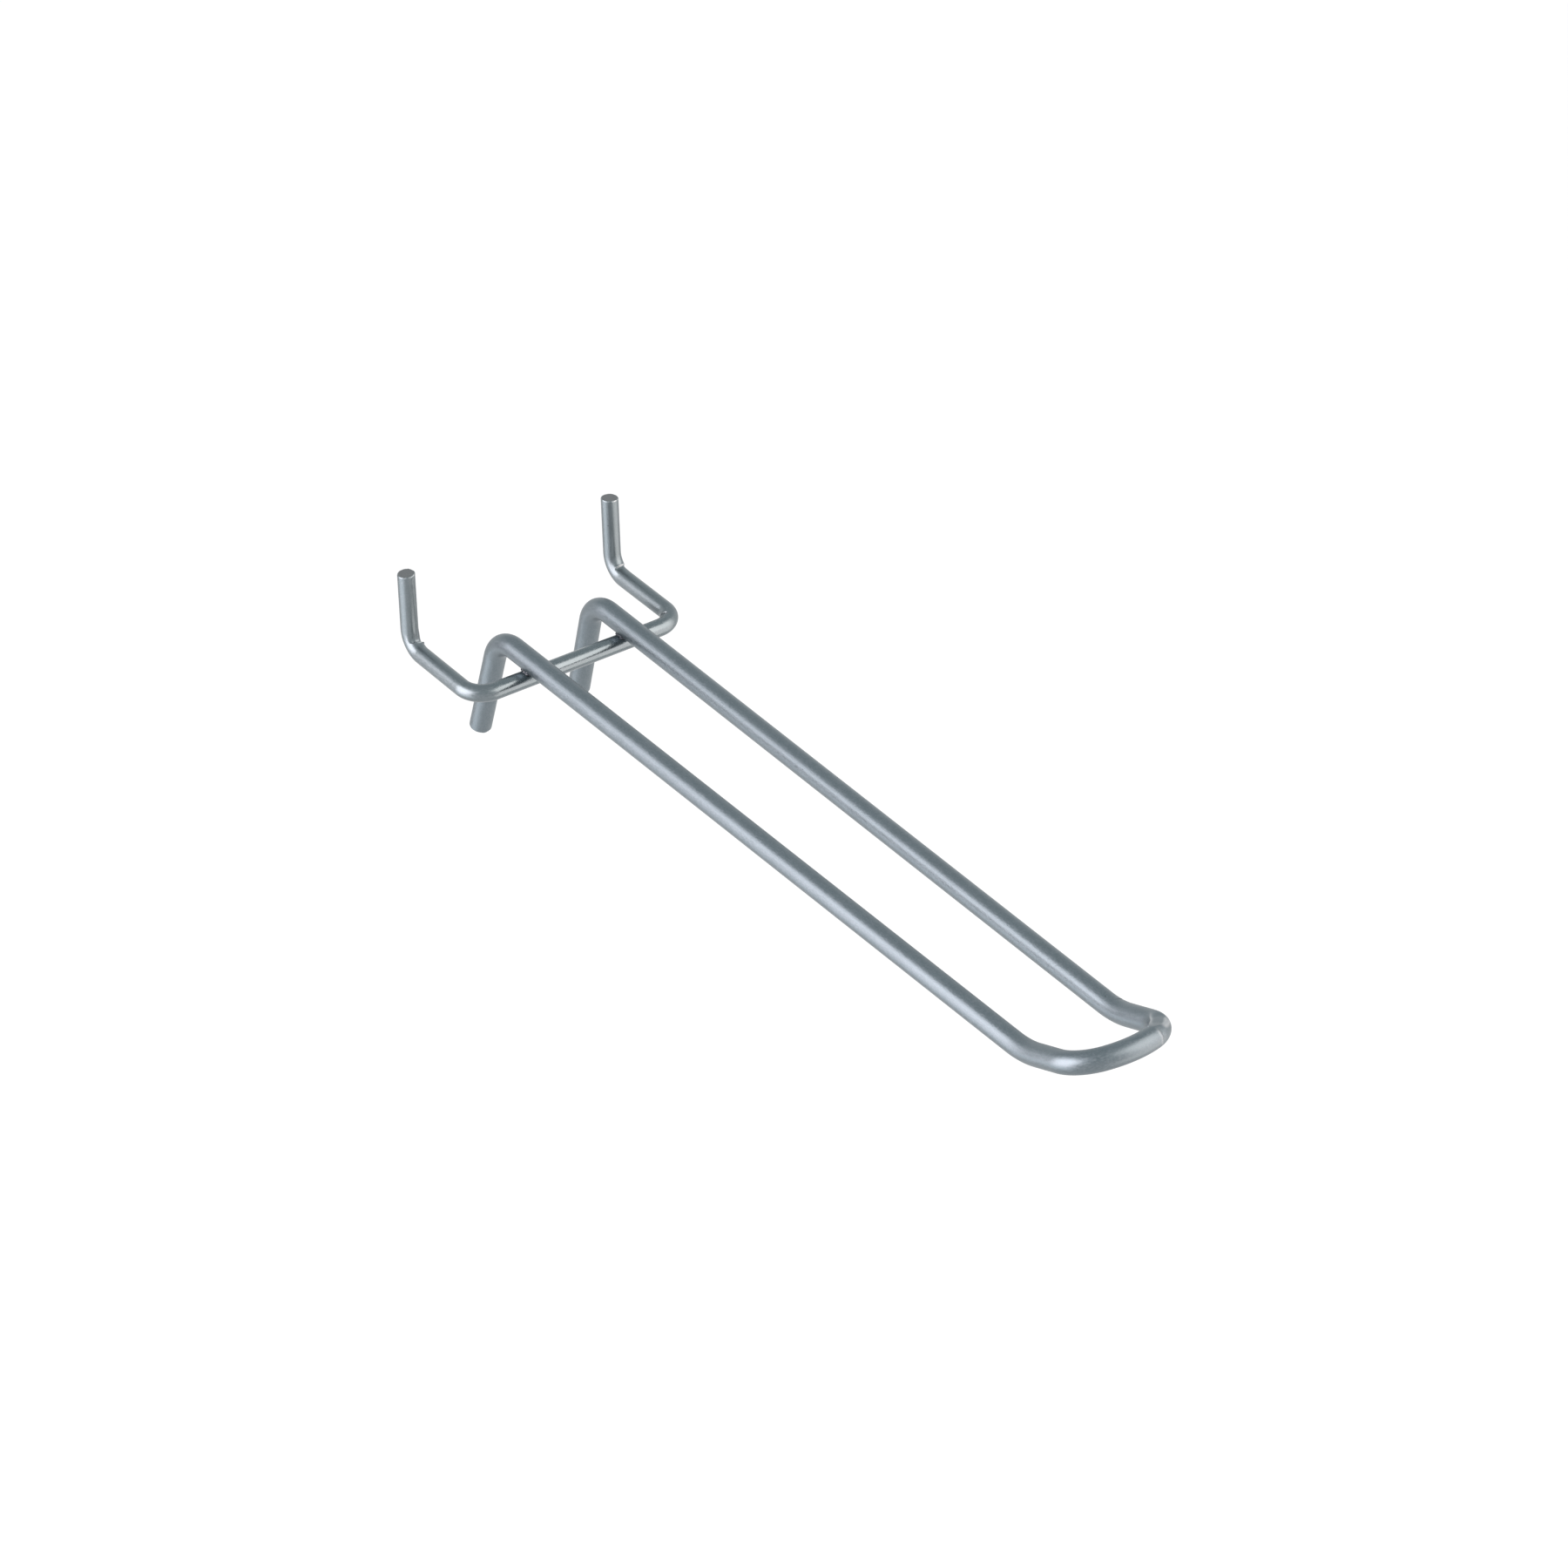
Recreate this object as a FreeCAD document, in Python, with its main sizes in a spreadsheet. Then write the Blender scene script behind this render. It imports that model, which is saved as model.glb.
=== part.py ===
import FreeCAD, Part
import math
import os

import Sketcher

# Double pegboard hook of plated wire. A long loop of thick wire has two legs, two arms and a raised nose.
# A thinner wire makes the crossbar and the two pegs, and is welded on below the arms, near the shoulders.
# Frame: X across, +Y into the board, +Z up. The origin lies on the board's front face, midway between
# the two pegs and at the height of their axes. The arms reach out along -Y and stay level.

# Driving dimensions, in millimetres and degrees
SIZES = (
    ("peg_spacing", 50.8, "from one peg's axis to the other's: two pitches of the board"),
    ("peg_wire_diameter", 3.75, "wire of the crossbar and the pegs"),
    ("loop_wire_diameter", 4.75, "wire of the arms, nose and legs"),
    ("board_throat", 1.65, "from the board's front face to the uprights, where a peg turns up"),
    ("upright_length", 17.5, "from the peg's axis to the tip, along the upright"),
    ("upright_lean", 2.55, "how far the upright leans back from the vertical"),
    ("upright_bend_radius", 4.65, "wire axis, between peg and upright"),
    ("crossbar_corner_radius", 5.0, "wire axis, between crossbar and peg"),
    ("crossbar_setback", 11.35, "from the shoulder's corner to the crossbar's axis"),
    ("arm_spacing", 23.65, "between the arms' axes, at the shoulders' corners"),
    ("arm_toe_in", 0.26, "each arm's turn towards the other"),
    ("arm_run", 174.75, "from the shoulder's corner to the start of the rise"),
    ("shoulder_radius", 7.65, "wire axis, between arm and leg"),
    ("leg_length", 26.7, "from the shoulder's corner to the foot"),
    ("leg_lean", 15.65, "how far the leg leans back from the vertical"),
    ("leg_splay", 1.3, "each leg's turn outwards"),
    ("rise_radius", 21.4, "wire axis, where the arms turn up"),
    ("rise_angle", 20.55, "how steeply the nose climbs"),
    ("nose_depth", 15.65, "from the end of the rise to the nose's middle, up the slope"),
    ("nose_corner_radius", 8.2, "wire axis, between arm and nose"),
    ("nose_front_radius", 16.45, "wire axis, across the nose's middle"),
    ("weld_sink", 0.2, "how far the crossbar is pressed into the arms"),
    ("weld_radius", 2.2, "of the flash round each crossing"),
    ("weld_thickness", 1.25, "of the same flash"),
    ("weld_bevel", 0.4, "of the flash's upper rim"),
    ("tip_chamfer", 0.3, "of the edge at the uprights' cut ends"),
    ("foot_chamfer", 0.35, "of the edge at the legs' cut ends"),
)

doc = FreeCAD.newDocument("pegboard_hook")
sheet = doc.addObject("Spreadsheet::Sheet", "sizes")
for row, (alias, value, note) in enumerate(SIZES, start=1):
    sheet.set(f"A{row}", note)
    sheet.set(f"B{row}", str(value))
    sheet.setAlias(f"B{row}", alias)
doc.recompute()

# Rules that several pieces share, each in terms of the driving dimensions
S = "<<sizes>>."
LEG_LEAN = f"({S}leg_lean * 1 deg)"
UPRIGHT_LEAN = f"({S}upright_lean * 1 deg)"
TOE = f"({S}arm_toe_in * 1 deg)"
RISE = f"({S}rise_angle * 1 deg)"
SHOULDER_TANGENT = f"({S}shoulder_radius * tan(45 deg - {LEG_LEAN} / 2))"
UPRIGHT_TANGENT = f"({S}upright_bend_radius * tan(45 deg - {UPRIGHT_LEAN} / 2))"
FOOT_REACH = (
    f"(({S}leg_length - {S}foot_chamfer) * sin({LEG_LEAN}) + {S}loop_wire_diameter / 2 * cos({LEG_LEAN}))"
)
ARM_HEIGHT = f"(({S}peg_wire_diameter + {S}loop_wire_diameter) / 2 - {S}weld_sink)"
CROSSBAR_REACH = f"({FOOT_REACH} + {S}crossbar_setback)"
PEG_LENGTH = f"({CROSSBAR_REACH} + {S}board_throat + {S}peg_wire_diameter / 2)"
RISE_END = f"({S}arm_run + {S}rise_radius * sin({RISE}))"
RISE_HEIGHT = f"({S}rise_radius * (1 - cos({RISE})))"
NOSE_SLOPE = f"atan(tan({RISE}) / cos({TOE}))"
NOSE_TOE = f"asin(sin({TOE}) * cos({RISE}))"
NOSE_HALF_WIDTH = f"({S}arm_spacing / 2 - {RISE_END} * sin({TOE}))"

# The sketcher's own numbers: the ends and centre of a curve, the two axes and the origin
START, END, CENTRE = 1, 2, 3
ACROSS, UP = -1, -2
ORIGIN = (-1, 1)


def size(alias):
    """A driving length, for a sketch's first guess."""
    return float(sheet.get(alias))


def turn(alias):
    """A driving angle in radians, for a sketch's first guess."""
    return math.radians(size(alias))


def plane(body, role):
    """One of the body's own origin planes."""
    return next(item for item in body.Origin.OriginFeatures if item.Role == role)


def new_body(name):
    body = doc.addObject("PartDesign::Body", name)
    body.Label = name
    return body


def new_sketch(body, name, role, offset=None):
    """A sketch on one of the body's planes, or set off from it by a rule."""
    sketch = body.newObject("Sketcher::SketchObject", name)
    sketch.AttachmentSupport = [(plane(body, role), "")]
    sketch.MapMode = "FlatFace"
    if offset:
        sketch.setExpression("AttachmentOffset", offset)
    return sketch


def line(sketch, start, end):
    ends = [FreeCAD.Vector(*point, 0) for point in (start, end)]
    return sketch.addGeometry(Part.LineSegment(*ends), False)


def arc(sketch, centre, radius, first, last):
    """An arc that runs anticlockwise from its first angle to its last."""
    circle = Part.Circle(FreeCAD.Vector(*centre, 0), FreeCAD.Vector(0, 0, 1), radius)
    return sketch.addGeometry(Part.ArcOfCircle(circle, first, last), False)


def fix(sketch, kind, *where):
    sketch.addConstraint(Sketcher.Constraint(kind, *where))


def drive(sketch, name, rule, kind, *where):
    """A named dimension that follows a rule; the last of where is its first guess."""
    index = sketch.addConstraint(Sketcher.Constraint(kind, *where))
    sketch.renameConstraint(index, name)
    sketch.setExpression(f"Constraints.{name}", rule)


def bend_path(body, name, offset, radius, length, lean):
    """Wire axis that comes in along the sketch's X axis, bends up and leans away, through the sketch's origin.

    Radius, length and lean are names of driving dimensions; the length counts from the origin.
    """
    sketch = new_sketch(body, name, "YZ_Plane", offset)
    angle = turn(lean)
    tangent = size(radius) * math.tan(math.pi / 4 - angle / 2)
    along = (math.sin(angle), math.cos(angle))
    bend = arc(sketch, (-tangent, size(radius)), size(radius), -math.pi / 2, -angle)
    straight = line(sketch, [tangent * part for part in along], [size(length) * part for part in along])
    fix(sketch, "Tangent", bend, END, straight, START)
    fix(sketch, "PointOnObject", bend, START, ACROSS)
    fix(sketch, "Vertical", bend, START, bend, CENTRE)
    fix(sketch, "PointOnObject", *ORIGIN, straight)
    drive(sketch, "bend", f"{S}{radius}", "Radius", bend, size(radius))
    drive(sketch, "lean", f"{S}{lean} * 1 deg", "Angle", straight, UP, angle)
    drive(sketch, "length", f"{S}{length}", "Distance", *ORIGIN, straight, END, size(length))
    return sketch


def wire_section(body, name, diameter, place):
    """The wire's round section where its axis crosses the mirror plane."""
    sketch = new_sketch(body, name, "YZ_Plane", place)
    centre, upright = FreeCAD.Vector(0, 0, 0), FreeCAD.Vector(0, 0, 1)
    circle = sketch.addGeometry(Part.Circle(centre, upright, size(diameter) / 2), False)
    fix(sketch, "Coincident", circle, CENTRE, *ORIGIN)
    drive(sketch, "wire", f"{S}{diameter}", "Diameter", circle, size(diameter))
    return sketch


def bent_wire(body, paths, section, chamfer):
    """Sweeps the section along the joined half paths, mirrors the half and bevels the cut ends' edges."""
    route = body.newObject("PartDesign::SubShapeBinder", f"{body.Label}_route")
    route.Support = [(path, ("",)) for path in paths]
    doc.recompute()
    half = body.newObject("PartDesign::AdditivePipe", f"{body.Label}_half")
    half.Profile = section
    half.Spine = (route, [f"Edge{number}" for number in range(1, len(route.Shape.Edges) + 1)])
    whole = body.newObject("PartDesign::Mirrored", f"{body.Label}_whole")
    whole.Originals = [half]
    whole.MirrorPlane = (plane(body, "YZ_Plane"), [""])
    body.Tip = whole
    doc.recompute()
    cut_ends = [face for face in whole.Shape.Faces if face.Surface.TypeId == "Part::GeomPlane"]
    rims = [
        f"Edge{number}"
        for number, edge in enumerate(whole.Shape.Edges, start=1)
        if any(edge.isSame(rim) for face in cut_ends for rim in face.Edges)
    ]
    ends = body.newObject("PartDesign::Chamfer", f"{body.Label}_ends")
    ends.Base = (whole, rims)
    ends.setExpression("Size", f"{S}{chamfer}")
    body.Tip = ends
    doc.recompute()


def arm_path(body, offset):
    """Half of the level arms: from the shoulder's bend forwards, and up the rise."""
    sketch = new_sketch(body, "arm_path", "YZ_Plane", offset)
    run, radius, climb = size("arm_run"), size("rise_radius"), turn("rise_angle")
    tangent = size("shoulder_radius") * math.tan(math.pi / 4 - turn("leg_lean") / 2)
    straight = line(sketch, (-tangent, 0), (-run, 0))
    rise = arc(sketch, (-run, radius), radius, 1.5 * math.pi - climb, 1.5 * math.pi)
    fix(sketch, "PointOnObject", straight, START, ACROSS)
    fix(sketch, "PointOnObject", rise, END, ACROSS)
    fix(sketch, "Tangent", straight, END, rise, END)
    drive(sketch, "tangent", SHOULDER_TANGENT, "DistanceX", straight, START, *ORIGIN, tangent)
    drive(sketch, "run", f"{S}arm_run", "DistanceX", straight, END, *ORIGIN, run)
    drive(sketch, "rise", f"{S}rise_radius", "Radius", rise, radius)
    drive(sketch, "climb", RISE, "Angle", rise, climb)
    return sketch


def nose_path(body, offset):
    """Half of the nose, in the sloping plane that the rise ends in: arm, tight corner and shallow front."""
    sketch = new_sketch(body, "nose_path", "XY_Plane", offset)
    depth, toe = size("nose_depth"), turn("arm_toe_in")
    corner_radius, front_radius = size("nose_corner_radius"), size("nose_front_radius")
    reach = size("arm_run") + size("rise_radius") * math.sin(turn("rise_angle"))
    half_width = size("arm_spacing") / 2 - reach * math.sin(toe)
    aside = half_width - corner_radius
    front_middle = front_radius - depth
    corner_middle = front_middle - math.sqrt((front_radius - corner_radius) ** 2 - aside**2)
    meet = math.atan2(corner_middle - front_middle, aside)
    straight = line(sketch, (half_width, corner_middle), (half_width, 0))
    corner = arc(sketch, (aside, corner_middle), corner_radius, meet, 0)
    front = arc(sketch, (0, front_middle), front_radius, -math.pi / 2, meet)
    fix(sketch, "PointOnObject", straight, END, ACROSS)
    fix(sketch, "Tangent", straight, START, corner, END)
    fix(sketch, "Tangent", corner, START, front, END)
    fix(sketch, "PointOnObject", front, CENTRE, UP)
    fix(sketch, "PointOnObject", front, START, UP)
    drive(sketch, "half_width", NOSE_HALF_WIDTH, "DistanceX", *ORIGIN, straight, END, half_width)
    drive(sketch, "toe", NOSE_TOE, "Angle", straight, UP, toe)
    drive(sketch, "corner", f"{S}nose_corner_radius", "Radius", corner, corner_radius)
    drive(sketch, "front", f"{S}nose_front_radius", "Radius", front, front_radius)
    drive(sketch, "depth", f"{S}nose_depth", "DistanceY", front, START, *ORIGIN, depth)
    return sketch


def crossbar_path(body):
    """Half of the crossbar, its corner and the peg up to the upright's bend, in one level plane."""
    sketch = new_sketch(body, "crossbar_path", "XY_Plane")
    side, radius, back = size("peg_spacing") / 2, size("crossbar_corner_radius"), size("crossbar_setback")
    bar = line(sketch, (0, 0), (side - radius, 0))
    corner = arc(sketch, (side - radius, radius), radius, -math.pi / 2, 0)
    peg = line(sketch, (side, radius), (side, radius + back))
    fix(sketch, "Coincident", bar, START, *ORIGIN)
    fix(sketch, "Horizontal", bar)
    fix(sketch, "Vertical", peg)
    fix(sketch, "Tangent", bar, END, corner, START)
    fix(sketch, "Tangent", corner, END, peg, START)
    drive(sketch, "side", f"{S}peg_spacing / 2", "DistanceX", *ORIGIN, peg, END, side)
    drive(sketch, "corner", f"{S}crossbar_corner_radius", "Radius", corner, radius)
    drive(sketch, "length", f"{PEG_LENGTH} - {UPRIGHT_TANGENT}", "DistanceY", *ORIGIN, peg, END, radius + back)
    return sketch


def saddle(body):
    """Cuts the crossbar's round out of the arms' undersides, where it is pressed in and welded."""
    place = f"placement(vector(-{S}crossbar_setback; -{ARM_HEIGHT}; 0); rotation(vector(0; 0; 1); 0))"
    sketch = wire_section(body, "saddle_section", "peg_wire_diameter", place)
    before = body.Shape.Volume
    cut = body.newObject("PartDesign::Pocket", "saddle")
    cut.Profile = sketch
    cut.Type = "ThroughAll"
    cut.SideType = "Symmetric"
    body.Tip = cut
    doc.recompute()
    if not body.Shape.Volume < before:
        raise RuntimeError("the saddle cuts nothing")


def loop_wire():
    """Legs, shoulders, arms and raised nose. Its own origin is midway between the shoulders' corners."""
    body = new_body("loop_wire")
    body.setExpression("Placement.Base.y", f"-{FOOT_REACH}")
    body.setExpression("Placement.Base.z", ARM_HEIGHT)
    side = f"vector(0; 0; {S}arm_spacing / 2)"
    toed = f"rotation(vector(0; 1; 0); -{TOE})"
    downwards = f"rotation(vector(1; 0; 0); 180 deg - {S}leg_splay * 1 deg)"
    leg_plane = f"placement({side}; {toed} * {downwards})"
    leg = bend_path(body, "leg_path", leg_plane, "shoulder_radius", "leg_length", "leg_lean")
    arm = arm_path(body, f"placement({side}; {toed})")
    slope = f"rotation(vector(1; 0; 0); -{NOSE_SLOPE})"
    nose = nose_path(body, f"placement(vector(0; -{RISE_END} * cos({TOE}); {RISE_HEIGHT}); {slope})")
    ahead = f"-{RISE_END} * cos({TOE}) - {S}nose_depth * cos({NOSE_SLOPE})"
    above = f"{RISE_HEIGHT} + {S}nose_depth * sin({NOSE_SLOPE})"
    middle = f"placement(vector({ahead}; {above}; 0); rotation(vector(0; 0; 1); 0))"
    section = wire_section(body, "loop_section", "loop_wire_diameter", middle)
    bent_wire(body, (leg, arm, nose), section, "foot_chamfer")
    saddle(body)
    return body


def peg_wire():
    """Crossbar, pegs and uprights. Its own origin is the middle of the crossbar's axis."""
    body = new_body("peg_wire")
    body.setExpression("Placement.Base.y", f"-{CROSSBAR_REACH}")
    corner = f"placement(vector({PEG_LENGTH}; 0; {S}peg_spacing / 2); rotation(vector(0; 0; 1); 0))"
    upright = bend_path(body, "upright_path", corner, "upright_bend_radius", "upright_length", "upright_lean")
    section = wire_section(body, "peg_section", "peg_wire_diameter", None)
    bent_wire(body, (crossbar_path(body), upright), section, "tip_chamfer")
    return body


def flash(name, side):
    """The squeezed-out metal of one weld, before the wires are taken out: a disc, its upper rim bevelled."""
    body = new_body(f"{name}_flash")
    body.setExpression("Placement.Base.x", f"{side} * ({S}arm_spacing / 2 - {S}crossbar_setback * tan({TOE}))")
    body.setExpression("Placement.Base.y", f"-{CROSSBAR_REACH}")
    body.setExpression("Placement.Base.z", f"({S}peg_wire_diameter - {S}weld_sink) / 2")
    outline = new_sketch(body, f"{name}_outline", "XY_Plane")
    circle = Part.Circle(FreeCAD.Vector(0, 0, 0), FreeCAD.Vector(0, 0, 1), size("weld_radius"))
    disc_edge = outline.addGeometry(circle, False)
    fix(outline, "Coincident", disc_edge, CENTRE, *ORIGIN)
    drive(outline, "radius", f"{S}weld_radius", "Radius", disc_edge, size("weld_radius"))
    disc = body.newObject("PartDesign::Pad", f"{name}_disc")
    disc.Profile = outline
    disc.SideType = "Symmetric"
    disc.setExpression("Length", f"{S}weld_thickness")
    doc.recompute()
    bevel = body.newObject("PartDesign::Chamfer", f"{name}_bevel")
    rims = [
        (edge.CenterOfMass.z, f"Edge{number}")
        for number, edge in enumerate(disc.Shape.Edges, start=1)
        if edge.isClosed()
    ]
    bevel.Base = (disc, [max(rims)[1]])
    bevel.setExpression("Size", f"{S}weld_bevel")
    body.Tip = bevel
    return body


def weld(name, side, wires):
    """One weld: its flash, less the two wires that it joins."""
    joint = doc.addObject("Part::Cut", name)
    joint.Label = name
    joint.Base = flash(name, side)
    joint.Tool = wires
    return joint


loop = loop_wire()
pegs = peg_wire()
wires = doc.addObject("Part::Compound", "both_wires")
wires.Links = [loop, pegs]
sub_parts = [loop, pegs, weld("weld_left", -1, wires), weld("weld_right", 1, wires)]
doc.recompute()

for item in doc.Objects:
    if "Invalid" in item.State or "Error" in item.State:
        raise RuntimeError(f"{item.Name} did not rebuild")
for item in sub_parts:
    if item.Shape.isNull() or not item.Shape.isValid() or len(item.Shape.Solids) != 1:
        raise RuntimeError(f"{item.Label} is not one sound solid")

os.makedirs("parts", exist_ok=True)
for item in sub_parts:
    item.Shape.exportStep(f"parts/{item.Label}.step")
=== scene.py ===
"""Looks of a double pegboard hook: a long loop of thick plated wire, welded to a thinner wire with pegs."""

import math

import bmesh
import bpy
from mathutils import Euler, Matrix, Vector, noise


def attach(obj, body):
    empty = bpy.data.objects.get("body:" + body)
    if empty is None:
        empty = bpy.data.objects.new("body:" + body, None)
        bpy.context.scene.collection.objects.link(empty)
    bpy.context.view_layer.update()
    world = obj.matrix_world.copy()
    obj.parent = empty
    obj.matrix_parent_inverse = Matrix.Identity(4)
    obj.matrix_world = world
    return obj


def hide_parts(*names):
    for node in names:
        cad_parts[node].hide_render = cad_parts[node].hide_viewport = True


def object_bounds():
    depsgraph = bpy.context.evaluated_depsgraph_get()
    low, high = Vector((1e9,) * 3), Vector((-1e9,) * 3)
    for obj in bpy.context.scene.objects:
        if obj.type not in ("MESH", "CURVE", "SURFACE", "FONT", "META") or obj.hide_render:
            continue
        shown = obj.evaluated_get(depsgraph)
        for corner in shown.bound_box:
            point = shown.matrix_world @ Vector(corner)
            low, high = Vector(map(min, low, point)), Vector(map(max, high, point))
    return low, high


bl_info = {
    "name": "Pegboard hook",
    "version": (1, 0, 0),
    "blender": (4, 5, 0),
    "location": "3D View > Sidebar > Hook",
    "description": "Dresses a double pegboard hook of zinc-plated wire and sets up its studio",
    "category": "Object",
}

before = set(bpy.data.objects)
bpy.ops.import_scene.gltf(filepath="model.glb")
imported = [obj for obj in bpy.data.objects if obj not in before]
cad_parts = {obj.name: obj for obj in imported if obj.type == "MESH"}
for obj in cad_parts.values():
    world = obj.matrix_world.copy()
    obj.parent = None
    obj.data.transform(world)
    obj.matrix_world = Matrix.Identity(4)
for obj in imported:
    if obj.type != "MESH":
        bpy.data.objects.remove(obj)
CAD_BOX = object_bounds()

MM = 0.001
ACROSS, UP = Vector((1, 0, 0)), Vector((0, 0, 1))


def length(name, millimetres, description):
    return bpy.props.FloatProperty(
        name=name, description=description, default=millimetres * MM, min=0, unit="LENGTH", precision=5
    )


def angle(name, degrees, description):
    return bpy.props.FloatProperty(
        name=name, description=description, default=math.radians(degrees), subtype="ANGLE", unit="ROTATION"
    )


def number(name, value, description):
    return bpy.props.FloatProperty(name=name, description=description, default=value, min=0)


def count(name, value, description):
    return bpy.props.IntProperty(name=name, description=description, default=value, min=3)


def colour(name, value, description):
    return bpy.props.FloatVectorProperty(
        name=name, description=description, default=value, subtype="COLOR", size=3, min=0, max=1
    )


class LoopWireSizes(bpy.types.PropertyGroup):
    """The thick wire: legs, shoulders, arms and raised nose"""

    wire_diameter: length("Wire diameter", 4.75, "Thickness of the wire")
    arm_spacing: length("Arm spacing", 23.65, "Between the arms' axes at the shoulders' corners")
    arm_toe_in: angle("Toe-in", 0.26, "Each arm's turn towards the other")
    arm_run: length("Arm run", 174.75, "From the shoulder's corner to the start of the rise")
    shoulder_radius: length("Shoulder radius", 7.65, "Bend between arm and leg, at the wire's axis")
    leg_length: length("Leg length", 26.7, "From the shoulder's corner to the foot")
    leg_lean: angle("Leg lean", 15.65, "How far the leg leans back from the vertical")
    leg_splay: angle("Leg splay", 1.3, "Each leg's turn outwards")
    rise_radius: length("Rise radius", 21.4, "Bend where the arms turn up, at the wire's axis")
    rise_angle: angle("Rise angle", 20.55, "How steeply the nose climbs")
    nose_depth: length("Nose depth", 15.65, "From the end of the rise to the nose's middle")
    nose_corner_radius: length("Nose corner radius", 8.2, "Bend between arm and nose, at the wire's axis")
    nose_front_radius: length("Nose front radius", 16.45, "Across the nose's middle, at the wire's axis")
    weld_sink: length("Weld sink", 0.2, "How far the crossbar is pressed into the arms")
    end_rounding: length("End rounding", 0.35, "Broken edge of the cut ends")
    bend_step: length("Bend step", 0.2, "Between two rings of the mesh in a bend")
    run_step: length("Run step", 1.2, "Between two rings of the mesh on a straight run")
    sides: count("Sides", 96, "Corners of a ring of the mesh")


class PegWireSizes(bpy.types.PropertyGroup):
    """The thinner wire: uprights, pegs and crossbar"""

    wire_diameter: length("Wire diameter", 3.75, "Thickness of the wire")
    peg_spacing: length("Peg spacing", 50.8, "From one peg's axis to the other's")
    board_throat: length("Board throat", 1.65, "From the board's front face to the uprights")
    upright_length: length("Upright length", 17.5, "From the peg's axis to the tip")
    upright_lean: angle("Upright lean", 2.55, "How far the upright leans back from the vertical")
    upright_bend_radius: length("Upright bend radius", 4.65, "Between peg and upright, at the wire's axis")
    corner_radius: length("Corner radius", 5.0, "Bend between crossbar and peg, at the wire's axis")
    setback: length("Setback", 11.35, "From the shoulder's corner to the crossbar's axis")
    end_rounding: length("End rounding", 0.3, "Broken edge of the cut ends")
    bend_step: length("Bend step", 0.1, "Between two rings of the mesh in a bend")
    run_step: length("Run step", 1.0, "Between two rings of the mesh on a straight run")
    sides: count("Sides", 64, "Corners of a ring of the mesh")


class WeldSizes(bpy.types.PropertyGroup):
    """The two welds where the arms cross the crossbar"""

    radius: length("Radius", 1.85, "Of the squeezed-out metal round each crossing")
    thickness: length("Thickness", 1.25, "Of the same metal")
    lump: length("Lump", 0.3, "How far its surface wanders")
    heat_reach: length("Heat reach", 7.0, "How far the heat has tinted the thin wire")
    arm_heat_reach: length("Heat reach on the arms", 3.3, "How far the heat has tinted the thick wire")


class FinishValues(bpy.types.PropertyGroup):
    """Colours and roughness of the plating, the cut ends and the welds"""

    loop_colour: colour("Thick wire", (0.162, 0.194, 0.212), "Plating of the thick wire")
    loop_roughness: number("Thick wire roughness", 0.42, "Satin of the thick wire's plating")
    peg_colour: colour("Thin wire", (0.174, 0.204, 0.217), "Plating of the thin wire")
    peg_roughness: number("Thin wire roughness", 0.375, "Satin of the thin wire's plating")
    cut_colour: colour("Cut ends", (0.2, 0.207, 0.211), "Sheared steel of the cut ends")
    heat_colour: colour("Heat tint", (0.2, 0.13, 0.09), "Brown tint next to the welds")
    weld_colour: colour("Welds", (0.055, 0.06, 0.07), "Burnt metal of the welds")
    weld_bright: colour("Weld specks", (0.62, 0.62, 0.62), "Fresh metal on the welds' crests")


class StageValues(bpy.types.PropertyGroup):
    """Floor, lamps and camera"""

    floor_colour: colour("Floor", (0.9, 0.9, 0.9), "Paper under the hook")
    floor_drop: length("Floor drop", 500, "How far the floor lies below the pegs")
    floor_reach: length("Floor reach", 12000, "From the middle of the floor to its edges")
    azimuth: angle("Azimuth", -35.597, "The camera's turn about the vertical")
    elevation: angle("Elevation", 34.128, "The camera's height above the horizon")
    distance: length("Distance", 1400, "From the hook to the camera")
    lens: number("Lens", 161.67, "Focal length in millimetres on a 36 mm sensor")


def corner_route(points, radii):
    """A straight-sided guide: its points, each bend's radius, and each bend's length along the wire."""
    bends = [0.0]
    for before, here, after, radius in zip(points, points[1:], points[2:], radii[1:]):
        bends.append(radius * (here - before).angle(after - here))
    return points, radii, bends + [0.0]


def mirrored(point):
    return Vector((-point.x, point.y, point.z))


def shoulder_corner(loop, pegs):
    """Where the right arm's and leg's axes meet. The feet's rear faces lie on the board, at y = 0."""
    reach = (loop.leg_length - loop.end_rounding) * math.sin(loop.leg_lean)
    reach += loop.wire_diameter / 2 * math.cos(loop.leg_lean)
    height = (pegs.wire_diameter + loop.wire_diameter) / 2 - loop.weld_sink
    return Vector((loop.arm_spacing / 2, -reach, height))


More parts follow.
